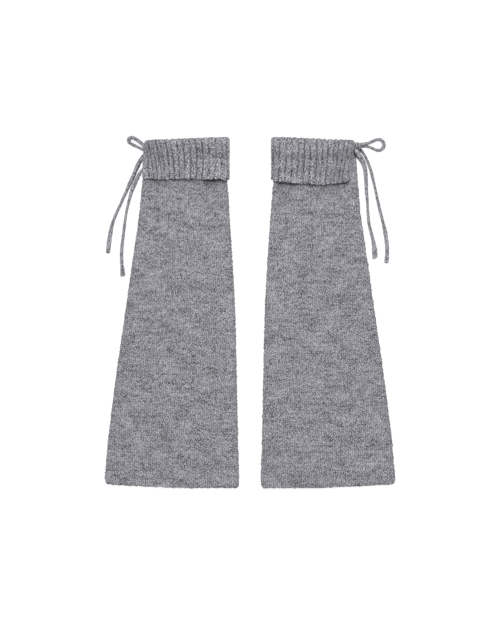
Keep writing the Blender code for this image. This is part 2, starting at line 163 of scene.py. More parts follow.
LEFT = Side(
    name="left",
    way=-1,
    band_inner=(
        (0, 32), (4, 32.4), (8.5, 33.6), (19.5, 33.6), (28, 31.9), (38, 31.2), (56, 31.2),
        (64, 31.8), (73, 31), (86, 30), (109, 29),
    ),
    band_outer=(
        (0, 139.5), (8, 138), (22, 138), (34, 140.4), (44, 144.6), (54, 149.3), (66, 151.3),
    ),
    flap_outer=((2, 143.6), (9, 147.6), (21, 148.3), (38, 149.4), (60, 150.5)),
    back_flap_outer=((2, 145), (9, 147), (60, 147)),
    flap_hem=(
        (29, 58.4), (36, 59.6), (40, 58), (46, 56.6), (56, 58), (80, 56.8), (130, 56.7),
        (151, 55.4),
    ),
    flap_corner=4,
    lifts=((49, 9, 4.4), (61, 6, 2.6), (88, 7, 1.2), (106, 5, 1.6), (120, 5, 0.6), (137, 5, 1.8)),
    gathers=((15, 7, 0.17),),
    hem_shade=0.62,
    hem_tones=((112, 24, -0.2), (178, 20, 0.06), (40, 20, 0.05)),
    first_rib=0.3,
    grooves_top=(
        34, 39.9, 48.3, 58.2, 68.4, 76.8, 86.2, 94.9, 103.3, 112.9, 119.2, 127.2, 134.3, 140.2,
        144.8, 148.4,
    ),
    grooves_hem=(
        32.3, 41.1, 50.3, 59.2, 67, 75.6, 83.4, 91.7, 98.7, 105.6, 112.6, 119.4, 123.3, 129.3,
        134.6, 141,
    ),
    grooves_bow=(
        0, -1.6, -1.9, -1.7, -2.1, -1.8, -2, -1.5, -1, -1, -0.9, -1.1, -1.4, -1.1, -1, -1.2,
    ),
    groove_depths=(1, 0.6, 0.85, 0.85, 1.25, 1.5, 1, 1, 0.75, 1.1, 1, 0.65, 0.9, 0.8, 1, 0.8),
    pattern_place=0,
    seeds=(11, 31, 62),
    knot=(143.5, 15.5),
    knot_tilt=32,
    cords={"loop": LEFT_LOOP, "tail_outer": LEFT_TAIL_OUTER, "tail_inner": LEFT_TAIL_INNER},
)
RIGHT_LOOP = Cord(
    route=(
        (155.9, 9.1, 8.9), (162.4, 8, 8.4), (167.8, 6.4, 7.2), (172.5, 4.2, 5.6), (177.2, 2.3, 4),
        (182.4, 2, 2.8), (186.3, 4.8, 2.2), (187.9, 9.6), (186.1, 14.2), (181.4, 16.9),
        (175.5, 15.8, 2.3), (169.3, 13, 2.9), (162.4, 11.3, 4.1), (155.7, 11.8, 5.5),
    ),
    widths=((0, 1.2), (6, 1.05), (15, 0.98), (30, 1.1), (42, 1.2), (50, 1.02), (60, 0.9), (78, 1)),
    shade=(0, 4, 0.3),
)
RIGHT_TAIL_INNER = Cord(
    route=(
        (147.6, 16.3, 9.5), (150.2, 21, 8.4), (153.9, 25.6, 7.2), (157.2, 31.5, 5.6),
        (160, 38.5, 4), (161.8, 46.2, 2.8), (162.5, 55.3, 2.2), (163, 64.4), (163.4, 75.6),
        (164.5, 86.8), (165.1, 98), (165.8, 109.2), (167.1, 120.4), (169.8, 131.6), (172.6, 142.8),
        (174.4, 154), (175.4, 168.5),
    ),
    widths=(
        (0, 1.8), (7, 1.85), (14, 1.95), (20, 1.72), (26, 1.5), (33, 1.45), (40, 1.28), (54, 1.22),
        (64, 1.12), (76, 0.95), (86, 0.82), (95, 0.95), (115, 1.05), (130, 1.1), (139, 1.35),
        (147, 1.62), (158, 1.76),
    ),
    shade=(0, 3, 0.3),
    lean=(13, 6, 1.2),
    edge_shade=(8, 12, 0.85, 1),
    end=(0.5, -0.8, 0.45),
)
RIGHT_TAIL_OUTER = Cord(
    route=(
        (153.3, 15.5, 6.2), (158.2, 20.4, 5.2), (162, 26.6, 4.2), (165.2, 33.6, 3.2),
        (168, 40.6, 2.5), (170.5, 49), (172.9, 58.8), (175.5, 70), (177.8, 81.2), (180.3, 92.4),
        (182.9, 103.6), (185.8, 114.8), (188.4, 126), (190.5, 137.2), (191.9, 148.4),
        (192.3, 159.6), (191.4, 174.5),
    ),
    widths=(
        (0, 1.1), (10, 0.95), (30, 0.95), (48, 0.98), (62, 0.92), (78, 0.96), (90, 1.05),
        (112, 1.05), (121, 1.28), (148, 1.28), (155, 1.3), (160, 1.45), (166, 1.62),
    ),
    shade=(2.5, 5, 1.1),
    end=(0.8, -0.1, 0.1),
)
RIGHT = Side(
    name="right",
    way=1,
    band_inner=(
        (0, 33.1), (4, 33.6), (8.5, 34.8), (19.5, 34.8), (28, 33), (38, 32.4), (56, 32.4),
        (64, 32.8), (73, 31.8), (86, 30.8), (109, 29),
    ),
    band_outer=((0, 146), (8, 144), (20, 144.2), (26, 146.8), (32, 149), (42, 149.9), (66, 151)),
    flap_outer=((2, 143.2), (9, 146), (18, 143.8), (31, 143.4), (45, 141.6), (64, 140.4)),
    back_flap_outer=((2, 143.2), (9, 146), (16, 148), (60, 148)),
    flap_hem=((29, 59), (36, 60.6), (50, 61.6), (84, 64.2), (100, 64.8), (126, 62.4), (141, 59.8)),
    flap_corner=6,
    lifts=((44, 6, 3.4), (60, 8, 3.6), (86, 6, 2.2), (104, 5, 0.8), (122, 5, 2.4), (133, 5, 3)),
    gathers=((25, 7, 0.17), (46, 5, 0.2)),
    hem_shade=0.48,
    hem_tones=((100, 26, 0.28), (165, 34, 0.26), (40, 26, 0.1)),
    first_rib=0.45,
    grooves_top=(
        32.9, 41.4, 50.4, 58.6, 67.5, 76.6, 84.5, 93.1, 100.8, 108.1, 116.9, 124.1, 133, 139.8,
        146.2,
    ),
    grooves_hem=(
        31.4, 39.7, 48.8, 57.3, 65.1, 74, 82.3, 91.3, 98.2, 105.7, 112.9, 118, 124.7, 129.6, 137.2,
    ),
    grooves_bow=(0, 0.5, 0.8, 0.9, 1, 0.7, 0.9, 1.3, 1.8, 2, 1.6, 1.4, 0.6, 0, -0.5),
    groove_depths=(1, 0.7, 0.85, 0.65, 0.85, 1.1, 0.9, 0.9, 0.6, 1, 0.6, 0.8, 1.05, 0.75, 1.6),
    pattern_place=1600,
    seeds=(12, 32, 60),
    knot=(151.1, 10.8),
    knot_tilt=4,
    cords={"loop": RIGHT_LOOP, "tail_inner": RIGHT_TAIL_INNER, "tail_outer": RIGHT_TAIL_OUTER},
)

# ---- smooth curves and the flat tube


def read(table, place, column=1):
    """A column of a table at places of its first column, on a smooth curve through the rows."""
    x, y = np.array(table, float)[:, [0, column]].T
    steps = np.arange(len(x))
    low, high = np.maximum(steps - 1, 0), np.minimum(steps + 1, len(x) - 1)
    slope = (y[high] - y[low]) / (x[high] - x[low])
    place = np.clip(place, x[0], x[-1])
    i = np.clip(np.searchsorted(x, place, "right") - 1, 0, len(x) - 2)
    width = x[i + 1] - x[i]
    t = (place - x[i]) / width
    bend = width * t * (1 - t) * (slope[i] * (1 - t) - slope[i + 1] * t)
    return y[i] + (y[i + 1] - y[i]) * ease(t) + bend


def ease(share):
    share = np.clip(share, 0, 1)
    return share * share * (3 - 2 * share)


def bump(place, centre, width):
    return np.exp(-(((place - centre) / width) ** 2))


def bumps(place, rows):
    """The sum of a bump for each row of centre, width and height."""
    return sum(height * bump(place, centre, width) for centre, width, height in rows)


def waves(seed, length, x, y, count=16):
    """A smooth random height at (x, y), about 1 high, with bumps about that long."""
    draw = np.random.default_rng(seed)
    angles = draw.uniform(0, 2 * math.pi, count)
    numbers = 2 * math.pi / (length * draw.uniform(0.6, 1.5, count))
    phases = draw.uniform(0, 2 * math.pi, count)
    total = 0
    for angle, number, phase in zip(angles, numbers, phases):
        total = total + np.cos(number * (x * math.cos(angle) + y * math.sin(angle)) + phase)
    return total * math.sqrt(2 / count)


# of a tube: angle round a curl, front 1 or back -1, on a curl or not, outer side 1 or inner -1
Columns = namedtuple("Columns", "angle sign curled way_out")


def flap_offset(down):
    return read(FLAP_OFFSET, down)


def seam_height(down):
    lift = np.where(down <= LEG_LIFT[0][0], flap_offset(down), read(LEG_LIFT, down))
    return WALL / 2 + lift + HALF_FOLD


def tube_edges(side, down):
    """Where the curls of the tube's two sides begin."""
    edges = []
    for column, band in ((1, side.band_inner), (2, side.band_outer)):
        edges.append(np.where(down < band[-1][0], read(band, down), read(LEGS, down, column)))
    inset = WALL / 2 + CURL_RADIUS
    return edges[0] + inset, edges[1] - inset


def sink(out, start, end):
    return SINK * ease(np.minimum(out - start, end - out) / SINK_WIDTH)


def corner(from_end, size):
    """How far a round corner takes an edge in, at this distance from the edge's end."""
    return CORNER_DEPTH * size * np.clip(1 - from_end / size, 0, 1) ** 2


def hem_down(share):
    rise = np.clip((share - HEM_RISE_FROM) / (1 - HEM_RISE_FROM), 0, 1)
    return LAID_LENGTH - HEM_RISE * rise**HEM_RISE_POWER


def cross_section(columns, down, start, end, flat_out, offset=0.0, jag=0.0):
    """Out and height of a tube's columns, and out of the seam that each curl is bent round."""
    radius = CURL_RADIUS + offset
    edge = np.where(columns.way_out > 0, end, start) + columns.way_out * jag
    curl_out = edge + columns.way_out * radius * np.cos(columns.angle)
    out = np.where(columns.curled, curl_out, flat_out)
    dip = np.where(columns.sign > 0, sink(out, start, end), 0.0)
    rise = columns.sign * (CURL_START + radius) - dip
    curl_rise = CURL_START * columns.sign + radius * np.sin(columns.angle)
    return out, seam_height(down) + np.where(columns.curled, curl_rise, rise), edge


def front_share(columns):
    """1 on the front, 0 on the back, and between them round the curls."""
    return np.where(columns.curled, np.sin(np.clip(columns.angle, 0, 2)), columns.sign > 0)


def curl_turns(steps):
    """Angles of a half turn's inner columns, front to back, and the sign of their heights."""
    quarter = np.radians(np.linspace(90, 0, steps + 1))[1:]
    signs = np.ones(steps)
    return np.concatenate([quarter, -quarter[::-1]]), np.concatenate([signs, -signs])


# ---- meshes

RIM_ANGLES = (60.0, 20.0, -20.0, -60.0)  # of a raw edge's rows, from the outer skin to the inner
RIM_STEP = 0.9  # between them, on the stitch map
LOWEST = -0.1  # no outer skin reaches below this, just over the floor


def place_object(name, data):
    thing = bpy.data.objects.new(name, data)
    bpy.context.scene.collection.objects.link(thing)
    return thing


def make_object(name, points, faces, bake, knit, material, caps=()):
    """An object from points in millimetres, faces by point number, and UV maps by face corner."""
    mesh = bpy.data.meshes.new(name)
    mesh.from_pydata((points * MM).tolist(), [], faces.tolist() + list(caps))
    for layer, places in (("OFBake", bake), ("Stitches", knit)):
        uv = mesh.uv_layers.new(name=layer)
        uv.data.foreach_set("uv", np.asarray(places, np.float32).ravel())
    mesh.shade_smooth()
    mesh.materials.append(material)
    piece = place_object(name, mesh)
    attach(piece, "root")
    return piece


def shade_points(piece, values):
    """How much painted shade each point has, in grooves, creases and crevices, for the material."""
    shade = piece.data.attributes.new("groove", "FLOAT", "POINT")
    shade.data.foreach_set("value", values.astype(np.float32))


def distances(points):
    """How far along a line of points each one lies."""
    steps = np.linalg.norm(np.diff(points, axis=0), axis=1)
    return np.concatenate([[0], np.cumsum(steps)])


def normals_of(points, faces):
    """A unit normal for each point, from the faces round it."""
    a, b, c, d = (points[faces[:, k]] for k in range(4))
    across = np.cross(c - a, d - b)
    normals = np.zeros_like(points)
    for k in range(4):
        np.add.at(normals, faces[:, k], across)
    return normals / np.maximum(np.linalg.norm(normals, axis=1, keepdims=True), 1e-12)


def rim_rings(points, away, normals, thick, width):
    """Rings of points round a raw edge, from the outer skin to the inner one."""
    a = np.radians(RIM_ANGLES)[:, None, None]
    reach = np.where(a > 0, thick, WALL / 2)
    return points + away * width * np.cos(a) + normals * reach * np.sin(a)


def grid_corners(rows, columns):
    """The rows and the columns of the four corners of each cell of a grid."""
    r, c = (x.reshape(-1, 1) for x in np.indices((rows, columns)))
    return r + [0, 1, 1, 0], c + [0, 0, 1, 1]


# ---- legs

LEG_STEP = 1.0  # between rows
LEG_START = 0.6  # from the rib's seam to the first row
LEG_ACROSS = 66  # columns of the flat front, and of the back
CROWDING = 0.16  # of those columns towards the sides
CURL_STEPS = 7  # columns of a quarter turn
INNER_ROWS = 14
HEM_BASE = 455.0  # above this the rows run straight across
HEM_WIDTH = 188.0
LEG_RIM = 0.75  # how far a raw edge's rim stands out
SEAM_RIDGE = (0.28, 1.6)  # height, and width in columns
HEM_ROLL = (0.3, 1.6)  # height, and width
# (length, height, part kept below the middle) of the cloth's soft waves, and down of the place
# where they start, over what length, and their share above it
SOFT_WAVES = ((75.0, 0.45, 0.6), (24.0, 0.16, 0.8))
SOFT_FROM, SOFT_OVER, SOFT_ABOVE = 66, 30, 0.25
# (length, distance between the two edges, height) of the waves of the side edges, how far the
# outer and the inner one jump from row to row, and how far in that reaches
EDGE_WAVES = ((7.0, 40, 0.1), (2.7, 90, 0.42))
EDGE_JUMPS = (0.15, 0.28)
EDGE_REACH, EDGE_MARGIN = 6.0, 2
HEM_WAVES = (7.5, 0.38)  # length, height
# shade below the flap's hem: place, width, and width added where the hem is raised
CREASE, CREASE_FADE, RAISED_SHADE, DEEPEST = (1.0, 3.0, 0.4), 3, 0.15, 1.1
SOFT_CREASE = (7, 8, 0.15)  # a softer one below it: place, width, depth
HEM_SHADE = (2.2, 1.9)  # along the leg's hem: place, width
# the bake map's shares for the outer skin, the hem's rim, the inner skin and the rib's rim
LEG_BAKE = ((0, 0.94), (0.944, 0.956), (0.962, 0.985), (0.988, 1.0))
BAKE_GAP = 0.6  # between the bake map's columns on either side of a seam
BACK_APART = 613.0  # from the front's place in the yarn's pattern to the back's


def leg_tube(side, material):
    """The leg: a flattened tube from the rib to the hem, with its seams down both sides."""
    rows = round((LAID_LENGTH - JOIN) / LEG_STEP)
    nominal = JOIN + LEG_START + np.linspace(0, 1, rows) * (LAID_LENGTH - JOIN - LEG_START)
    nominal = nominal[:, None]
    share = np.linspace(0, 1, LEG_ACROSS + 1)
    share = share - CROWDING * np.sin(2 * math.pi * share) / (2 * math.pi)
    turns, signs = curl_turns(CURL_STEPS)
    flat, curl = np.zeros(len(share)), np.ones(len(turns))

    # each column: how far across the flat part, the angle round a curl, and front or back
    q = np.concatenate([share, curl, share[::-1], 0 * curl])
    angle = np.concatenate([flat, turns, flat, turns[::-1]])
    sign = np.concatenate([flat + 1, signs, flat - 1, signs[::-1]])
    curled = np.concatenate([flat, curl, flat, curl]) > 0
    way_out = np.where(q > 0.5, 1.0, -1.0)
    tube = Columns(angle, sign, curled, way_out)
    outer_seam = len(share) + CURL_STEPS
    inner_seam = len(q) - CURL_STEPS

    seed = side.seeds[0]
    length, high = HEM_WAVES
    hem = hem_down(q) + high * waves(seed + 60, length, HEM_WIDTH * q, 0 * q)
    below_base = (nominal - HEM_BASE) * (hem - HEM_BASE) / (LAID_LENGTH - HEM_BASE)
    down = np.where(nominal < HEM_BASE, nominal, HEM_BASE + below_base)
    start, end = tube_edges(side, down)
    start = start + corner(hem - down, HEM_CORNERS[0])
    end = end - corner(hem - down, HEM_CORNERS[1])
    flat_out = start + q * (end - start)
    out, height, edge = cross_section(tube, down, start, end, flat_out)

    # the soft unevenness of a piece laid by hand, only upwards
    front = front_share(tube)
    free = ease((down - SOFT_FROM) / SOFT_OVER)
    lift = sum(
        high * np.clip(waves(seed + 10 * k, length, out, down) + kept, 0, 3)
        for k, (length, high, kept) in enumerate(SOFT_WAVES)
    )
    height = height + front * lift * (SOFT_ABOVE + (1 - SOFT_ABOVE) * free)
    # the edges of a knit waver from row to row
    waver = sum(
        waves(seed + 20 + 10 * k, length, down, apart * way_out) * high
        for k, (length, apart, high) in enumerate(EDGE_WAVES)
    )
    jumps = np.random.default_rng(seed + 50).standard_normal((2, rows, 1))
    waver = waver + np.where(way_out > 0, EDGE_JUMPS[0] * jumps[0], EDGE_JUMPS[1] * jumps[1])
    from_edge = np.minimum(out - start + EDGE_MARGIN, end + EDGE_MARGIN - out).clip(0)
    out = out + way_out * waver * np.exp(-from_edge / EDGE_REACH)
    # painted shade in the crease below the flap's hem, and painted light and shade along the leg's hem
    raised = bumps(out, side.lifts)
    under = np.clip(side.hem_shade + RAISED_SHADE * raised, 0, DEEPEST)
    under = under * ease((read(side.flap_outer, down) - out) / CREASE_FADE)
    below_flap = down - read(side.flap_hem, out)
    place, width, widening = CREASE
    crease = bump(below_flap, place, width + widening * raised) + bumps(below_flap, [SOFT_CREASE])
    crease = crease * under * front + bumps(out, side.hem_tones) * bump(hem - down, *HEM_SHADE)

    points = np.stack([side.way * out, TOP - down, height], -1)
    columns = len(q)
    rows4, cols4 = grid_corners(rows - 1, columns)
    faces = rows4 * columns + cols4 % columns
    normals = side.way * normals_of(points.reshape(-1, 3), faces).reshape(points.shape)

    # the rings: the outer skin, the rim at the hem, a coarse inner skin, the rim at the rib
    high, width = SEAM_RIDGE
    column = np.arange(columns)
    seam_ridge = high * (bump(column, outer_seam, width) + bump(column, inner_seam, width))
    high, width = HEM_ROLL
    hem_roll = high * bump(hem - down, width, width)
    outer = points + normals * (WALL / 2 + seam_ridge + hem_roll)[..., None]
    outer[..., 2] = np.maximum(outer[..., 2], LOWEST)
    coarse = np.unique(np.linspace(rows - 1, 0, INNER_ROWS).round().astype(int))[::-1]
    inner = points[coarse] - normals[coarse] * (WALL / 2)

    def rim(row, beyond):
        tangent = points[row] - points[beyond]
        tangent = tangent / np.linalg.norm(tangent, axis=-1, keepdims=True)
        thick = np.linalg.norm(outer[row] - points[row], axis=-1, keepdims=True)
        return rim_rings(points[row], tangent, normals[row], thick, LEG_RIM)

    grid = np.array([*outer, *rim(rows - 1, rows - 3), *inner, *rim(0, 2)[::-1]])
    total = len(grid)
    rows4, cols4 = grid_corners(total, columns)
    faces = rows4 % total * columns + cols4 % columns

    # stitch map: columns of knit run down each panel beside its middle line
    middle = (start + end) / 2
    arc = (math.pi / 2 - np.abs(angle)) * (CURL_RADIUS + WALL / 2) + CURL_START
    across = np.where(curled, edge - middle + way_out * arc, out - middle)
    rims = len(RIM_ANGLES)
    of_ring = [*range(rows), *[rows - 1] * rims, *coarse, *[0] * (rims + 1)]
    round_rim = RIM_STEP * np.arange(1, rims + 1)
    past = np.zeros(total + 1)
    past[rows : rows + rims], past[-rims - 1 : -1] = round_rim, -round_rim[::-1]
    # unwrapped columns: the seams' and the first one twice, and the back's pattern set apart
    unwrapped = [
        *range(outer_seam + 1), *range(outer_seam, inner_seam + 1), *range(inner_seam, columns), 0,
    ]
    panel = np.cumsum(np.diff(unwrapped, prepend=-1) == 0)
    u_knit = across[of_ring][:, unwrapped] + np.where(panel == 1, BACK_APART, 0.0)
    u_knit = u_knit + side.pattern_place
    v_knit = -(down[of_ring] + past[:, None])[:, unwrapped]
    column = cols4[:, :1]
    cols4 = cols4 + (column >= outer_seam) + (column >= inner_seam)

    # bake map: one strip, its columns from left to right and its rings upwards
    u_bake = distances(points[rows // 2][unwrapped]) + BAKE_GAP * panel
    shares = zip(LEG_BAKE, (rows, rims, len(coarse), rims + 1))
    v_bake = np.concatenate([np.linspace(*part, n) for part, n in shares])
    order = [0, 3, 2, 1] if side.way < 0 else [0, 1, 2, 3]
    rows4, cols4 = rows4[:, order], cols4[:, order]
    piece = make_object(
        f"{side.name}_leg_knit",
        grid.reshape(-1, 3),
        faces[:, order],
        np.stack([(u_bake / u_bake[-1])[cols4], v_bake[rows4]], -1),
        np.stack([u_knit[rows4, cols4], v_knit[rows4, cols4]], -1),
        material,
    )
    shade_points(piece, np.pad(crease.ravel(), (0, (total - rows) * columns)))
    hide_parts(f"{side.name}_leg_front", f"{side.name}_leg_back")
    return piece


# ---- rib cuffs

RIB_PITCH = 8.4  # between grooves, where the rib is neither drawn in nor stretched
RIB_STEPS = (0.0, 0.055, 0.11, 0.18, 0.3, 0.5, 0.7, 0.82, 0.89, 0.945)  # columns of one rib
RIB_WALES = 3
WALES_ON_MAP = 8.0  # width of a rib on the stitch map
CLOSEST = 0.02  # columns, in ribs
EDGE_RIB = 0.8  # share of a rib left beyond the last groove
RIBS_ROUND = 2  # round the inner fold
BACK_RIBS = 13
OUTER_CURL = 8  # columns of a quarter turn at the outer edge
BAND_ROWS = (40, 36, 32, 28, 24.5, 21.5, 19, 16.5, 14, 11.5, 9.5, 8, 7, 6)
FOLD_STEPS = 12
FOLD_HALF = 5.2  # half of what the fold takes up along the cloth
FLAP_STEPS = 50
FLAP_TOP = 4.6  # down of the flap's first row
FLAP_LENGTH = 53.0
FLAP_CROWDING = 0.15  # of the flap's rows towards its hem
FALL_FROM, FALL_OVER, FALL_POWER = 4, 50, 0.8  # how the grooves pass from their top to their hem
SQUEEZE = 20.0  # the grooves this near the outer edge move in with it
EDGE_GAP = 2.0  # the last one stops this far from it
EDGE_JAG = 0.22  # how far the side edges jump from row to row
GROOVE_DEPTH = 1.6
GROOVE_WIDTH = 0.75
GROOVE_WAVES = (12.0, 0.3)  # length, and share of the depth
GROOVE_RANGE = (0.25, 1.6)  # of those shares
CROWN, FOLD_CROWN = 0.25, 0.3  # height of the round ribs, and what the fold adds
FOLD_CROWN_WIDTH = 3.0
PITCH_RANGE = (2.0, 10.0)
FULL_PITCH = 7  # a rib narrower than this is lower
PLAIN_FOLD = (0.75, 85, 40)  # depth, out and reach of the nearly plain fold at the inner side
PLAIN_ACROSS = (1.0, 5.0)  # place and width of that stretch over the fold
EDGE_PLAIN = (0.85, 1, 7)  # depth, place and reach of the lower ribs at the flap's outer edge
FLAP_ROLL = (0.3, 1.2, 1.4)  # height, place and width
FOLD_ROLL = (0.3, 4)  # height, width
HEM_SCALLOP = 0.55
HEM_UNEVEN = (5.5, 0.5)  # length, height
CUFF_RIM = 0.8
CUFF_INSIDE = WALL / 2 - 0.05  # from the middle of the cloth to the inner skin
# the bake map: share of the outer skin, start and share of the inner, and the rim's start, the
# heights of its lanes and of the strips of faces in them, and how many lanes
OUTER_BAKE, INNER_BAKE, RIM_BAKE, BAKE_LANES = 0.74, (0.745, 0.2), (0.95, 0.0125, 0.0022), 4
BAKE_ROW = -20  # of the cuff, whose length across sets the columns of its bake map
BAKE_LEAST, BAKE_LAST = 0.05, 0.5  # least width of a column there, and the last one's
CUFF_WAVES = ((26.0, 0.28, 1.0), (11.0, 0.16, 0.6))  # length, height, share of down that counts
STAND_OFF = (0.8, 9)  # of the whole flap's hem, and up to where
FREE_HEM = (12.0, 0.3)  # its unevenness grows over this length above the hem, from this share


def rib_counts(high, low):
    """Rib counts of the columns from high to low, close together beside each whole number."""
    counts = [k + step for k in range(math.floor(low), math.ceil(high)) for step in RIB_STEPS]
    inside = [c for c in counts if low + CLOSEST < c < high - CLOSEST]
    return np.array([high, *sorted(inside, reverse=True), low])


def on_lines(place, knots, line, start, stop):
    """Distance out between numbered lines, drawn in at the outer edge when that is at stop."""
    last = len(knots) - 2
    i = np.clip(np.searchsorted(knots, place, "right") - 1, 0, last)
    share = (place - knots[i]) / (knots[i + 1] - knots[i])
    begin = stop - SQUEEZE
    squeeze = np.minimum(1, (SQUEEZE - EDGE_GAP) / np.maximum(line(last) - begin, 1))

    def drawn_in(k):
        free = line(k)
        inside = np.where(free > begin, begin + (free - begin) * squeeze, free)
        return np.select([k == 0, k > last], [start, stop], inside)

    return drawn_in(i) + share * (drawn_in(i + 1) - drawn_in(i))


def raw_edges(points, faces, normals, thick):
    """The rim of a sheet: its open edges, then rings of points and strips of faces round them.

    The faces' numbers are for the outer skin's points, then the inner skin's, then the rings'.
    """
    total = len(points)
    ends = np.concatenate([faces[:, [k, (k + 1) % 4]] for k in range(4)])
    _, inverse, uses = np.unique(np.sort(ends, 1), axis=0, return_inverse=True, return_counts=True)
    rim = ends[uses[inverse.ravel()] == 1]
    away = np.zeros_like(points)
    edge = points[rim[:, 1]] - points[rim[:, 0]]
    for k in range(2):
        np.add.at(away, rim[:, k], np.cross(edge, normals[rim[:, k]]))
    away /= np.maximum(np.linalg.norm(away, axis=1, keepdims=True), 1e-9)
    on_rim, number = np.unique(rim, return_inverse=True)
    number = number.reshape(rim.shape)
    rings = rim_rings(*(x[on_rim] for x in (points, away, normals, thick)), CUFF_RIM)
    chain = [rim, *(2 * total + k * len(on_rim) + number for k in range(len(rings))), rim + total]
    strips = [np.stack([p[:, 1], p[:, 0], q[:, 0], q[:, 1]], 1) for p, q in zip(chain, chain[1:])]
    return rim, rings, strips


def rib_cuff(side, material):
    """The rib: up inside as a band, over the fold, and down as the flap, open at the slit."""
    # the columns, by rib count: the front, round the inner fold, the back, round the outer edge
    last = len(side.grooves_top) - 1
    first = side.first_rib
    front = rib_counts(last + EDGE_RIB, first)
    inner = rib_counts(first, first - RIBS_ROUND)[1:-1]
    seam = first - RIBS_ROUND / 2
    upper = [*inner[inner > seam + CLOSEST], seam]
    lower = [seam, *inner[inner < seam - CLOSEST]]
    back = rib_counts(first - RIBS_ROUND, 1 - RIBS_ROUND - BACK_RIBS - EDGE_RIB)
    turns, signs = curl_turns(OUTER_CURL)
    beyond = last + EDGE_RIB + 0.5 * (1 + np.sin(turns[::-1]))
    count = np.concatenate([front, upper, lower, back, beyond])
    zone = np.repeat([0, 1, 2, 3], [len(front), len(upper) + len(lower), len(back), len(turns)])
    sign = np.concatenate([
        np.ones(len(front) + len(upper)), -np.ones(len(lower) + len(back)), signs[::-1],
    ])
    angle = np.where(zone == 1, math.pi * (0.5 - (first - count) / RIBS_ROUND), 0.0)
    angle[zone == 3] = turns[::-1]
    curled = (zone == 1) | (zone == 3)
    tube = Columns(angle, sign, curled, np.where(zone == 3, 1.0, -1.0))
    flap_columns = int((zone < 3).sum())
    columns = len(count)

    lines = np.array([side.grooves_top, side.grooves_hem, side.grooves_bow])
    knots = np.array([first, *range(1, last + 1), last + EDGE_RIB])
    back_knots = np.array([-first, *range(BACK_RIBS), BACK_RIBS - 1 + EDGE_RIB])
    back_count = -RIBS_ROUND - count
    start0, end0 = (float(x) for x in tube_edges(side, np.array(JOIN)))
    on_front = np.interp(count, knots, [start0, *side.grooves_hem[1:], end0])
    on_back = start0 + (first + back_count) / (BACK_RIBS + EDGE_RIB) * (end0 - start0)
    out0 = np.select([zone == 0, zone == 1, zone == 2], [on_front, start0, on_back], end0)

    def lay(down, start, stop):
        """Distance out of the flat columns."""
        fall = np.clip((down - FALL_FROM) / FALL_OVER, 0, 1) ** FALL_POWER

        def groove_line(k):
            top, hem, bow = lines[:, np.minimum(k, last)]
            return top + (hem - top) * fall + bow * 4 * fall * (1 - fall)

        def back_line(k):
            return start + (first + k - 1) * RIB_PITCH

        on_front = on_lines(count, knots, groove_line, start, stop)
        on_back = on_lines(back_count, back_knots, back_line, start, stop)
        return np.where(zone == 0, on_front, on_back)

    def below_fold(nominal):
        return nominal + read(TOP_EDGE, out0) * np.maximum(0, 1 - nominal / JOIN)

    def flap_outer(down):
        return np.where(zone == 0, read(side.flap_outer, down), read(side.back_flap_outer, down))

    _, seed, edge_seed = side.seeds
    length, high = HEM_UNEVEN
    uneven = high * waves(seed + 40, length, out0, 0 * out0)
    scallop = -HEM_SCALLOP * np.cos(2 * math.pi * count)
    hem_line = np.where(zone == 0, read(side.flap_hem, out0), BACK_FLAP_HEM) + scallop + uneven

    # the rows: up the band, over the fold, down the flap
    band = np.array(BAND_ROWS)[:, None]
    a = np.linspace(0, math.pi, FOLD_STEPS + 1)[:, None]
    w = np.arange(1, FLAP_STEPS + 1)[:, None] / FLAP_STEPS
    w = w + FLAP_CROWDING * (w - w * w)
    fold = [-band, FOLD_HALF * (2 * a / math.pi - 1), FLAP_TOP + FLAP_LENGTH * w]
    fold = np.concatenate(fold)  # distance along the cloth from the fold's top
    turned = np.concatenate([0 * band, (1 - np.cos(a)) / 2, 0 * w + 1])
    fold_down = below_fold(FOLD_CENTRE)
    flap_down = below_fold(FLAP_TOP) * (1 - w) + hem_line * w
    down = [below_fold(band), fold_down - FOLD_RADIUS * np.sin(a), flap_down]
    down = np.concatenate(down)
    flap_out = flap_outer(flap_down) - corner(hem_line - flap_down, side.flap_corner)
    first_flap = len(band) + len(a)
    flap_out = np.concatenate([[flap_outer(fold_down)] * first_flap, flap_out])
    start, end = tube_edges(side, down)
    start[len(band) : first_flap] += corner(FOLD_RADIUS * (1 - np.sin(a)), FOLD_CORNER)
    stop = end + (flap_out - end) * turned
    offset = turned * flap_offset(down)
    rows = len(down)
    jag = EDGE_JAG * np.random.default_rng(edge_seed).standard_normal((rows, 1))
    flat_out = lay(down, start, stop)
    out, height, _ = cross_section(tube, down, start, end, flat_out, offset, jag)
    flap = np.arange(rows)[:, None] >= first_flap

    # the lie of the flap: softly uneven, and its hem stands off the leg in places
    soft = sum(
        waves(seed + 5 * k, length, out, down * part) * high
        for k, (length, high, part) in enumerate(CUFF_WAVES)
    )
    to_hem = hem_line - down
    stand_off, reach = STAND_OFF
    lift = (bumps(out, side.lifts) + stand_off) * bump(to_hem, 0, reach)
    length, least = FREE_HEM
    height = height + flap * front_share(tube) * (soft * ease(to_hem / length + least) + lift)
    points = np.stack([side.way * out, TOP - down, height], -1)

    # faces, the slit left open above the band
    rows4, cols4 = (x[:, :: -side.way] for x in grid_corners(rows - 1, columns))
    keep = (rows4.min(1) < len(BAND_ROWS) - 1) | (cols4.min(1) < flap_columns - 1)
    rows4, cols4 = rows4[keep], cols4[keep]
    faces = rows4 * columns + cols4 % columns
    flat_points = points.reshape(-1, 3)
    normals = normals_of(flat_points, faces)

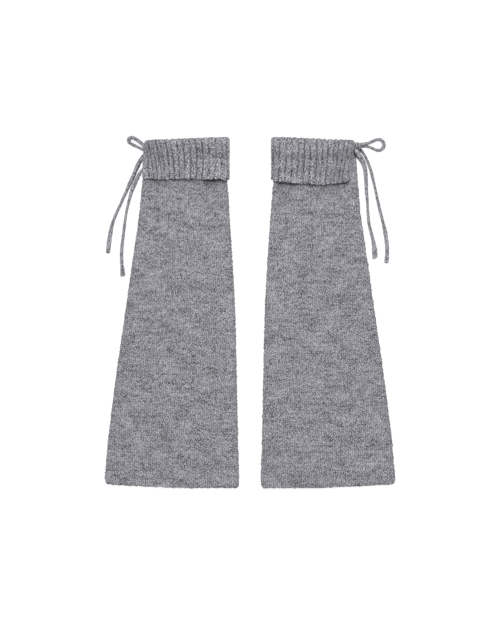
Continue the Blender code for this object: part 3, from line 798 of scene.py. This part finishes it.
    # ribs: a narrow groove at each whole count, and a round crown between
    pitch = np.clip(np.abs(np.gradient(out, axis=1) / np.gradient(count)), *PITCH_RANGE)
    pitch = np.where(curled, math.pi * (CURL_RADIUS + offset) / RIBS_ROUND, pitch)
    nearest = np.round(count)
    from_groove = np.abs(count - nearest)
    own_depth = np.array(side.groove_depths)[np.clip(nearest.astype(int), 0, last)]
    own_depth = np.where(zone == 0, own_depth, 1.0)
    length, share = GROOVE_WAVES
    own_depth = np.clip(own_depth + share * waves(seed + 9, length, out, down), *GROOVE_RANGE)
    # the profile of the rib's grooves, 1 at their deepest: it sets their relief, and the painted shade
    # in them
    groove = bump(from_groove * pitch, 0, GROOVE_WIDTH) * own_depth
    crown = -(CROWN + FOLD_CROWN * bump(fold, 0, FOLD_CROWN_WIDTH)) * np.cos(2 * math.pi * from_groove)
    depth, place, reach = PLAIN_FOLD
    shallow = 1 - depth * ease((place - out) / reach) * bump(fold, *PLAIN_ACROSS)
    depth, place, reach = EDGE_PLAIN
    at_edge = np.where(zone == 1, 0.0, depth * (1 - ease((stop - out - place) / reach)))
    full = np.clip(pitch / FULL_PITCH, 0, 1) * shallow * (1 - at_edge)
    high, place, width = FLAP_ROLL
    roll = high * bump(to_hem, place, width) * flap
    high, width = FOLD_ROLL
    roll = roll + high * bump(fold, 0, width)
    outer_reach = WALL / 2 + (crown - GROOVE_DEPTH * groove) * full + roll
    outer_skin = flat_points + normals * outer_reach.reshape(-1, 1)
    outer_skin[:, 2] = np.maximum(outer_skin[:, 2], LOWEST)
    inner_skin = flat_points - normals * CUFF_INSIDE

    rim, rings, rim_faces = raw_edges(flat_points, faces, normals, outer_reach.reshape(-1, 1))

    # stitch map: wales by the rib count, courses along the cloth
    length = distances(points[:, len(front) // 2])
    wales = count * WALES_ON_MAP + side.pattern_place
    knit = np.stack(np.broadcast_arrays(wales, -length[:, None]), -1).reshape(-1, 2)
    rim_knit = knit[rim[:, [1, 0, 0, 1]]]
    across_rim = np.array([0, 0, 1, 1])[:, None]
    rim_knits = [rim_knit + RIM_STEP * (across_rim + k) for k in range(len(rim_faces))]

    # bake map: the outer skin as a grid, then the inner skin, then the rim in four strips
    across = distances(points[BAKE_ROW]) + BAKE_LEAST * np.arange(columns)
    across = np.append(across, across[-1] + BAKE_LAST)
    across, up = across / across[-1], length / length[-1]
    outer_bake = np.stack([across[cols4], up[rows4] * OUTER_BAKE], -1)
    begin, share = INNER_BAKE
    inner_bake = np.stack([across[cols4], begin + up[rows4] * share], -1)
    per_lane = math.ceil(len(rim) / BAKE_LANES)
    lane, along = np.divmod(np.arange(len(rim))[:, None], per_lane)
    begin, lane_high, high = RIM_BAKE
    rim_bakes = []
    for k in range(len(rim_faces)):
        x = (along + [1, 0, 0, 1]) / per_lane
        y = begin + lane * lane_high + k * high + [0, 0, high, high]
        rim_bakes.append(np.stack([x, y], -1))

    # points that no face uses are left out
    all_points = np.concatenate([outer_skin, inner_skin, *rings])
    all_faces = np.concatenate([faces, faces[:, ::-1] + len(flat_points), *rim_faces])
    used = np.zeros(len(all_points), bool)
    used[all_faces] = True
    renumber = np.cumsum(used) - 1
    piece = make_object(
        f"{side.name}_cuff_knit",
        all_points[used],
        renumber[all_faces],
        np.concatenate([outer_bake, inner_bake[:, ::-1], *rim_bakes]),
        np.concatenate([knit[faces], knit[faces[:, ::-1]], *rim_knits]),
        material,
    )
    # painted shade in the rib's grooves, and in bands across the front where the flap is drawn in
    shade = np.zeros(len(all_points))
    shade[: len(flat_points)] = (groove * full + bumps(down, side.gathers) * (sign > 0)).ravel()
    shade_points(piece, shade[used])
    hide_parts(f"{side.name}_cuff_front", f"{side.name}_cuff_back")
    return piece


# ---- cords

CORD_WALES = 5
CORD_TWIST = 0.006  # wales that they turn in each millimetre
CORD_COURSE = 2.3
CORD_SLANT = 0.9
CORD_RELIEF = 0.42
MEAN_STITCH = 0.55  # height of a knit face, on average
STRAND_LEAST, STRAND_DIP = 0.25, (0.3, 0.2)  # between strands; at a wale's middle, and its width
STRAND_FLANK = 0.62  # how far from a wale's middle its sides begin to fall
CORD_WAVES = (9.0, 0.04)  # length, and share of the width
CORD_SIDES = 40
CORD_SLACK = 0.02  # a cord is this much thinner than its solid
LEAST_END = 0.01  # squared share of the width that a cord keeps at its ends
CORD_RING = 0.46
CORD_ROUNDING = 1.2  # at the knot
FLATTENED_FROM = 1.2  # a cord wider than this share of its width keeps this height
CORD_LIES = (1.12, 0.03)  # least height of its middle, in half thicknesses, and a gap under it
SHADED_EDGE = (0.25, 0.5)  # where a shade on one edge begins and how far it grows, in half widths
CAP_BAKE = (0.004, 0.005, 0.003)  # height and half sizes of a cap on the bake map
CORD_BAKE = 0.01  # where the tube begins on it
CUT_REACH = 8.0  # how far back the cut at a tail's end is felt
RUN_ON = 0.3  # share of the way from a cord's exit to the knot's middle that it runs on
KNOT_TURNS, KNOT_FROM = 2.2, -2.2  # turns of the wrap, and the angle where they begin
KNOT_POINTS = 90
KNOT_RING = 0.5
KNOT_ROUNDING = 1.5
KNOT_SPREAD = 1.2  # its length as a share of the knot's
KNOT_IN = 0.4  # how far in from the knot's middle it lies
KNOT_SHRINK = (0.15, 0.12)  # how far its ends are drawn in, and over what share of its length
STEPS_BETWEEN_STOPS = 12


def smooth_route(stops, spacing):
    """Points at even spacing on a smooth curve through the stops, and its length."""
    padded = np.array([stops[0], *stops, stops[-1]])[:, None]
    before, a, b, after = padded[:-3], padded[1:-2], padded[2:-1], padded[3:]
    t = np.arange(STEPS_BETWEEN_STOPS)[:, None] / STEPS_BETWEEN_STOPS
    curve = 2 * a + (b - before) * t + (2 * before - 5 * a + 4 * b - after) * t**2
    curve = 0.5 * (curve + (3 * a - before - 3 * b + after) * t**3)
    fine = np.concatenate([curve.reshape(-1, 3), stops[-1:]])
    length = distances(fine)[-1]
    return even_points(fine, max(2, round(length / spacing)) + 1), length


def even_points(points, count):
    """So many points at even spacing along a line of points."""
    gone = distances(points)
    wanted = np.linspace(0, gone[-1], count)
    return np.stack([np.interp(wanted, gone, points[:, k]) for k in range(3)], 1)


def stitch_height(a, b, slant):
    """Height of a knit face, from the wale's number and the course's: a column of small Vs."""
    beside = np.abs(a - np.floor(a) - 0.5) * 2
    strand = 0.5 + 0.5 * np.cos(2 * math.pi * (b + slant * beside))
    flank = 1 - ease((beside - STRAND_FLANK) / (1 - STRAND_FLANK))
    dip, width = STRAND_DIP
    height = STRAND_LEAST + (1 - STRAND_LEAST) * strand
    return height * flank * (1 - dip * bump(beside, 0, width))


def thickness(radii):
    """Height of a cord as a share of its width: a wide stretch is flattened."""
    return np.clip(FLATTENED_FROM * CORD / 2 / radii, 0, 1)


def rounded_ends(length, count, start, end, widths=((0, 1.0), (1, 1.0))):
    """Radius along a cord, round at its ends."""
    gone = np.linspace(0, length, count)
    radius = (CORD / 2 - CORD_SLACK) * read(widths, gone)
    for reach, away in ((start, gone), (end, length - gone)):
        share = np.clip(away / reach, 0, 1)
        radius = radius * np.sqrt(np.clip(1 - (1 - share) ** 2, LEAST_END, 1))
    return radius


def cord_tube(name, route, length, radii, material, past=0.0, slant=0.0):
    """A knitted tube along a route in millimetres, closed at both ends."""
    rings = len(route)
    gone = np.linspace(0, length, rings)[:, None]
    tangent = np.gradient(route, axis=0)
    tangent /= np.linalg.norm(tangent, axis=1, keepdims=True)
    side = np.cross(tangent[0], (0, 0, 1))
    sides = []
    for t in tangent:
        side = side - t * (side @ t)
        side = side / np.linalg.norm(side)
        sides.append(side)
    ups = np.cross(sides, tangent)
    turn = np.linspace(0, 2 * math.pi, CORD_SIDES + 1)
    wale = CORD_WALES * turn / (2 * math.pi) + gone * CORD_TWIST
    course = gone / CORD_COURSE
    wave, share = CORD_WAVES
    wander = 1 + share * waves(len(name), wave, gone, 0 * gone)
    relief = CORD_RELIEF * (stitch_height(wale, course, CORD_SLANT) - MEAN_STITCH)
    radius = radii[:, None] * wander * (1 + relief / (CORD / 2))
    # the cut at the far end
    cut = ease((gone - length + CUT_REACH) / CUT_REACH) * (past + slant * radius * np.cos(turn))
    points = (
        route[:, None]
        + np.array(sides)[:, None] * (radius * np.cos(turn))[..., None]
        + ups[:, None] * (radius * np.sin(turn) * thickness(radii)[:, None])[..., None]
        + tangent[:, None] * cut[..., None]
    )
    rows4, cols4 = grid_corners(rings - 1, CORD_SIDES)
    faces = rows4 * CORD_SIDES + cols4 % CORD_SIDES
    up = CORD_BAKE + (1 - 2 * CORD_BAKE) * rows4 / (rings - 1)
    bake = [np.stack([cols4 / CORD_SIDES, up], -1).reshape(-1, 2)]
    knit = [np.stack([wale[rows4, cols4], course[rows4, 0]], -1).reshape(-1, 2)]
    caps = []
    low, wide, high = CAP_BAKE
    for r, level, step in ((0, low, 1), (rings - 1, 1 - low, -1)):
        around = np.arange(CORD_SIDES)[::step]
        caps.append((r * CORD_SIDES + around).tolist())
        ring = [0.5 + wide * np.cos(turn[around]), level + high * np.sin(turn[around])]
        bake.append(np.stack(ring, 1))
        knit.append(np.stack([wale[r, around], np.full(CORD_SIDES, course[r, 0])], 1))
    bake, knit = np.concatenate(bake), np.concatenate(knit)
    return make_object(name, points[:, :-1].reshape(-1, 3), faces, bake, knit, material, caps)


def in_frame(side, out, down, height=LYING):
    return np.array([side.way * out, TOP - down, height])


def free_cord(side, kind, material):
    """A loop or a tail, from its exit at the knot."""
    cord = side.cords[kind]
    tail = kind != "loop"
    stops = [in_frame(side, *s) for s in cord.route]
    centre = in_frame(side, *side.knot, KNOT_HEIGHT)
    route, length = smooth_route(stops, CORD_RING)
    # the ends at the knot run on a little into it
    stops = [route[0] + (centre - route[0]) * RUN_ON, *stops]
    if not tail:
        stops.append(route[-1] + (centre - route[-1]) * RUN_ON)
    shown, shown_length = smooth_route(stops, CORD_RING)
    gone = np.linspace(0, shown_length, len(shown))
    shown[:, 0] -= bumps(gone, [cord.lean])
    rounding, past, slant = cord.end
    radii = rounded_ends(shown_length, len(shown), CORD_ROUNDING, rounding, cord.widths)
    # a wide stretch lies on the floor too, so its middle is higher
    share, gap = CORD_LIES
    shown[:, 2] = np.maximum(shown[:, 2], radii * thickness(radii) * share + gap)
    piece = cord_tube(
        f"{side.name}_{kind}_cord", shown, shown_length, radii, material, past, slant
    )
    # painted shade where the cord leaves the knot, and along one of its edges
    turn = np.linspace(0, 2 * math.pi, CORD_SIDES, endpoint=False)
    *place, which = cord.edge_shade
    begin, reach = SHADED_EDGE
    on_edge = ease((which * np.cos(turn) - begin) / reach)
    shade = bumps(gone, [cord.shade])[:, None] + bumps(gone, [place])[:, None] * on_edge
    shade_points(piece, shade.ravel())
    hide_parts(f"{side.name}_{kind}")
    return piece


def wrap_knot(side, material):
    """The half bow's knot: two turns of the cord round the rest."""
    half, width, height = (size - CORD / 2 for size in KNOT)
    t = np.linspace(0, 1, KNOT_POINTS)
    phase = 2 * math.pi * KNOT_TURNS * t + KNOT_FROM
    depth, share = KNOT_SHRINK
    shrink = 1 - depth * (1 - ease(t / share)) - depth * ease((t - 1 + share) / share)
    local = np.stack([
        (t - 0.5) * 2 * half * KNOT_SPREAD - KNOT_IN * side.way,
        width * np.cos(phase) * shrink,
        height * np.sin(phase) * shrink,
    ], 1)
    a = math.radians(side.knot_tilt * -side.way)
    turned = local @ np.array([
        [math.cos(a), math.sin(a), 0], [-math.sin(a), math.cos(a), 0], [0, 0, 1],
    ])
    route = turned + in_frame(side, *side.knot, KNOT_HEIGHT)
    length = distances(route)[-1]
    route = even_points(route, round(length / KNOT_RING))
    radii = rounded_ends(length, len(route), KNOT_ROUNDING, KNOT_ROUNDING)
    piece = cord_tube(f"{side.name}_knot_wrap", route, length, radii, material)
    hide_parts(f"{side.name}_knot")
    return piece


# ---- materials


class Nodes:
    """Shader nodes, added and linked in one call each."""

    def __init__(self, tree):
        self.tree = tree
        tree.nodes.clear()

    def add(self, kind, inputs=(), **settings):
        node = self.tree.nodes.new("ShaderNode" + kind)
        for key, value in settings.items():
            setattr(node, key, value)
        for key, value in dict(inputs).items():
            if isinstance(value, bpy.types.NodeSocket):
                self.tree.links.new(value, node.inputs[key])
            else:
                node.inputs[key].default_value = value
        return node

    def math(self, operation, *values):
        return self.add("Math", enumerate(values), operation=operation).outputs[0]

    def plus(self, a, b):
        return self.math("ADD", a, b)

    def minus(self, a, b):
        return self.math("SUBTRACT", a, b)

    def times(self, a, b):
        return self.math("MULTIPLY", a, b)

    def times_plus(self, a, b, c):
        return self.math("MULTIPLY_ADD", a, b, c)

    def vector(self, operation, *values):
        return self.add("VectorMath", enumerate(values), operation=operation).outputs[0]

    def scaled(self, vector, factor):
        node = self.add("VectorMath", {0: vector, "Scale": factor}, operation="SCALE")
        return node.outputs[0]

    def noise(self, vector, scale, detail, roughness):
        inputs = {"Vector": vector, "Scale": scale, "Detail": detail, "Roughness": roughness}
        return self.add("TexNoise", inputs).outputs[0]

    def cell(self, x, y):
        """A random value of its own for each pair of whole numbers."""
        place = self.combine(x, y)
        return self.add("TexWhiteNoise", {"Vector": place}, noise_dimensions="2D").outputs[0]

    def ramp(self, value, low, high, to_low, to_high):
        limits = {"From Min": low, "From Max": high, "To Min": to_low, "To Max": to_high}
        node = self.add("MapRange", {"Value": value} | limits, interpolation_type="SMOOTHSTEP")
        return node.outputs[0]

    def combine(self, x, y, z=0.0):
        return self.add("CombineXYZ", {"X": x, "Y": y, "Z": z}).outputs[0]


# wale, course: a stitch's width and height on the stitch map
# slant: how far its sides run on past its middle; jitter: how far it lies out of line
# bump: its height; cavity: how dark the painted shade round it is; gain: brightness
# stitch, ply, streak, band, patch, fibre, mottle: how much the tone differs between stitches,
#     strands, short and long streaks, patches and fibres, and over the whole piece
Knit = namedtuple(
    "Knit", "wale course slant jitter bump band streak patch stitch ply fibre mottle cavity gain"
)

GREY = (0.267, 0.268, 0.291)
CORD_GREY = (0.27, 0.267, 0.29)
JERSEY = Knit(
    wale=2.8, course=2.1, slant=0.9, jitter=1.2, bump=0.45, band=1.0, streak=1.2, patch=0.85,
    stitch=0.3, ply=1.2, fibre=1.4, mottle=0.12, cavity=0.85, gain=1.05,
)
RIB = JERSEY._replace(
    wale=WALES_ON_MAP / RIB_WALES, course=1.9, band=0.45, streak=0.8, patch=0.0, ply=1.85,
    mottle=0.55, cavity=0.4, gain=1.15,
)
STRING = JERSEY._replace(
    wale=2.4, course=CORD_COURSE, slant=CORD_SLANT, jitter=0.0, bump=0.3, streak=1.15,
    stitch=0.8, cavity=0.4, gain=1.11,
)
# scales of the random tones, and the numbers that set neighbours apart in them
JITTER_SCALE, MOTTLE_SCALE, FUZZ_SCALE = 0.16, 60.0, 2.2
STREAK_SCALE, COURSES_APART = 0.15, 7.31
BAND_SCALE, PATCH_SCALE = (0.036, 0.24, 1.0), (0.035, 0.06, 1.0)
FIBRE_ACROSS, FIBRE_ALONG, LEGS_APART = 1.1, 4.0, 5.3
PLIES, PLY_SLANT = 1.5, 0.3  # strands in a course, and how far their ends slope
DARKEST = 0.2  # tone
FUZZ = 0.7  # loose fibres' share of the tone of the others
FIBRE_RELIEF = 0.3
# the strands beside one, and how much of their tone is taken off its own
NEXT_STRANDS = ((1, 0, -0.14), (-1, 0, -0.14), (0, 1, -0.1), (0, -1, -0.1))
SURFACE = {
    "Roughness": 0.95,
    "Specular IOR Level": 0.12,
    "Sheen Weight": 0.12,
    "Sheen Roughness": 0.55,
    "Sheen Tint": (0.85, 0.87, 0.92, 1.0),
}


def knit_material(name, colour, knit, phase=0.0, groove=0.0, in_stitches=False, by_shape=False):
    """Melange wool: columns of small V stitches, a yarn whose tone wanders, and loose fibres."""
    material = bpy.data.materials.new(name)
    material.use_nodes = True
    n = Nodes(material.node_tree)
    body = n.add("TexCoord").outputs["Object"]
    place = n.add("UVMap", uv_map="Stitches").outputs[0]
    if by_shape:
        spot = n.add("SeparateXYZ", {0: body}).outputs
        place = n.scaled(n.combine(n.plus(spot[1], spot[2]), spot[0]), 1 / MM)
    if in_stitches:
        place = n.vector("MULTIPLY", place, (knit.wale, knit.course, 1.0))
    wander = n.add("TexNoise", {"Vector": place, "Scale": JITTER_SCALE, "Detail": 1.0}).outputs[1]
    wander = n.vector("SUBTRACT", wander, (0.5, 0.5, 0.5))
    bent = n.vector("ADD", place, n.scaled(wander, knit.jitter))
    along_course, along_wale, _ = n.add("SeparateXYZ", {0: bent}).outputs
    a = n.times_plus(along_course, 1 / knit.wale, phase)
    across = n.times(n.math("ABSOLUTE", n.minus(n.math("FRACT", a), 0.5)), 2.0)
    b = n.times_plus(along_wale, 1 / knit.course, n.times(across, knit.slant))
    strand = n.times_plus(n.math("COSINE", n.times(b, 2 * math.pi)), 0.375, 0.625)
    flank = n.ramp(across, STRAND_FLANK, 1.0, 1.0, 0.0)
    centre = n.ramp(across, 0.0, 0.3, 0.7, 1.0)
    height = n.times(n.times(strand, flank), centre)

    # each stitch's two legs, and the strands of the yarn, each set apart from those beside it
    course = n.math("FLOOR", n.plus(b, 0.5))
    leg = n.math("FLOOR", n.times(a, 2.0))
    each = n.cell(leg, course)
    level = n.times_plus(along_wale, PLIES / knit.course, n.times(across, PLY_SLANT))
    level = n.math("FLOOR", level)
    ply = n.cell(leg, level)
    for step_a, step_b, share in NEXT_STRANDS:
        beside = n.cell(n.plus(leg, step_a), n.plus(level, step_b))
        ply = n.times_plus(n.minus(beside, 0.5), share, ply)
    # streaks along the courses, patches, fibres along the legs, and loose ones
    short = n.combine(n.times(along_course, STREAK_SCALE), n.times(course, COURSES_APART))
    short = n.noise(short, 1.0, 1.0, 0.5)
    long = n.noise(n.vector("MULTIPLY", bent, BAND_SCALE), 1.0, 2.0, 0.55)
    patch = n.noise(n.vector("MULTIPLY", bent, PATCH_SCALE), 1.0, 2.0, 0.5)
    fibre = n.times_plus(across, FIBRE_ACROSS, n.times(leg, LEGS_APART))
    fibre = n.combine(fibre, n.times(b, FIBRE_ALONG))
    fibre = n.noise(fibre, 1.0, 2.0, 0.6)
    fuzz = n.noise(bent, FUZZ_SCALE, 3.0, 0.6)
    mottle = n.noise(body, MOTTLE_SCALE, 2.0, 0.5)

    tone = 1.0
    for value, amount in (
        (each, knit.stitch), (ply, knit.ply), (short, knit.streak), (long, knit.band),
        (fibre, knit.fibre), (fuzz, knit.fibre * FUZZ), (mottle, knit.mottle),
        (patch, knit.patch),
    ):
        tone = n.times_plus(n.minus(value, 0.5), amount, tone)
    tone = n.math("MAXIMUM", tone, DARKEST)
    # painted shade in the gaps round each stitch
    tone = n.times(tone, n.times_plus(height, knit.cavity, 1.0 - knit.cavity * 0.5))
    # painted shade from each point's value, in grooves, creases and crevices; below 0 it is painted
    # lighter
    if groove:
        deep = n.add("Attribute", attribute_name="groove").outputs["Fac"]
        tone = n.times(tone, n.minus(1.0, n.times(deep, groove)))
    shade = n.scaled(n.combine(*colour), n.times(tone, knit.gain))

    relief = n.plus(height, n.times(n.plus(fibre, fuzz), FIBRE_RELIEF))
    bumped = n.add("Bump", {"Strength": 1.0, "Distance": knit.bump * MM, "Height": relief})
    inputs = {"Base Color": shade, "Normal": bumped.outputs[0]} | SURFACE
    surface = n.add("BsdfPrincipled", inputs)
    n.add("OutputMaterial", {"Surface": surface.outputs[0]})
    return material


# ---- the camera, floor and light

FRAME_HEIGHT = 0.875  # what the picture takes in, at the height of the cloth
CLOTH_HEIGHT = 0.008
CAMERA_UP = 0.0007  # from the pair's middle towards the cuffs
LENS, SENSOR = 120.0, 36.0
FLOOR_HALF, FLOOR_LEVEL = 6.0, -0.0002
FLOOR_TONE = 0.8  # as other rays find it
FLOOR_GLOW, FLOOR_SHADED = 0.86, 0.18  # as the camera sees it: own light, and tone
WORLD_LIGHT, WORLD_SEEN = 0.41, 1.0
LAMP_PLACE, LAMP_SIZE, LAMP_POWER = (0.0, 1.0, 2.8), 1.4, 70.0


def grey(tone):
    return (tone, tone, tone, 1.0)


def make_camera():
    camera = place_object("Camera", bpy.data.cameras.new("Camera"))
    camera.data.lens, camera.data.sensor_width = LENS, SENSOR
    away = FRAME_HEIGHT / 2 / (SENSOR / 2 / LENS)
    camera.location = (0.0, CAMERA_UP, CLOTH_HEIGHT + away)
    camera.data.clip_end = 50.0
    bpy.context.scene.camera = camera


def looked_at_or(n, other, seen):
    """Seen for rays from the camera, straight or by a mirror or a pane, or else other."""
    path = n.add("LightPath").outputs
    looked = n.math("MAXIMUM", path["Is Camera Ray"], path["Is Glossy Ray"])
    looked = n.math("MAXIMUM", looked, path["Is Transmission Ray"])
    return n.add("MixShader", {0: looked, 1: other.outputs[0], 2: seen.outputs[0]}).outputs[0]


def make_floor():
    mesh = bpy.data.meshes.new("Floor")
    signs = ((-1, -1), (1, -1), (1, 1), (-1, 1))
    mesh.from_pydata([(FLOOR_HALF * x, FLOOR_HALF * y, 0) for x, y in signs], [], [(0, 1, 2, 3)])
    floor = place_object("Floor", mesh)
    floor.location.z = FLOOR_LEVEL
    material = bpy.data.materials.new("Pale floor")
    material.use_nodes = True
    n = Nodes(material.node_tree)
    plain = n.add("BsdfDiffuse", {"Color": grey(FLOOR_TONE)})
    glow = n.add("Emission", {"Color": grey(1.0), "Strength": FLOOR_GLOW})
    shaded = n.add("BsdfDiffuse", {"Color": grey(FLOOR_SHADED)})
    seen = n.add("AddShader", {0: shaded.outputs[0], 1: glow.outputs[0]})
    n.add("OutputMaterial", {"Surface": looked_at_or(n, plain, seen)})
    mesh.materials.append(material)


def make_world():
    world = bpy.data.worlds.new("Studio")
    bpy.context.scene.world = world
    world.use_nodes = True
    n = Nodes(world.node_tree)
    light, seen = (
        n.add("Background", {"Color": grey(1.0), "Strength": strength})
        for strength in (WORLD_LIGHT, WORLD_SEEN)
    )
    n.add("OutputWorld", {"Surface": looked_at_or(n, light, seen)})


def make_lamp():
    data = bpy.data.lights.new("Key", "AREA")
    data.shape, data.size, data.energy = "DISK", LAMP_SIZE, LAMP_POWER
    lamp = place_object("Key", data)
    lamp.location = LAMP_PLACE
    lamp.rotation_euler = (-Vector(LAMP_PLACE)).to_track_quat("-Z", "Y").to_euler()


def main():
    bpy.context.scene.view_settings.view_transform = "Standard"
    make_camera()
    string = knit_material("Knitted cord", CORD_GREY, STRING, groove=0.8, in_stitches=True)
    for side in (LEFT, RIGHT):
        knot = wrap_knot(side, string)
        for kind in side.cords:
            free_cord(side, kind, string)
    jersey = knit_material("Plain knit", GREY, JERSEY, groove=0.7)
    rib = knit_material("Rib knit", GREY, RIB, phase=0.5, groove=0.71)
    in_casing = knit_material("Cord in the fold", CORD_GREY, STRING, by_shape=True)
    for side in (LEFT, RIGHT):
        leg = leg_tube(side, jersey)
        cuff = rib_cuff(side, rib)
        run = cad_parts[f"{side.name}_drawstring_run"]
        run.data.materials.clear()
        run.data.materials.append(in_casing)
    make_floor()
    make_world()
    make_lamp()


main()
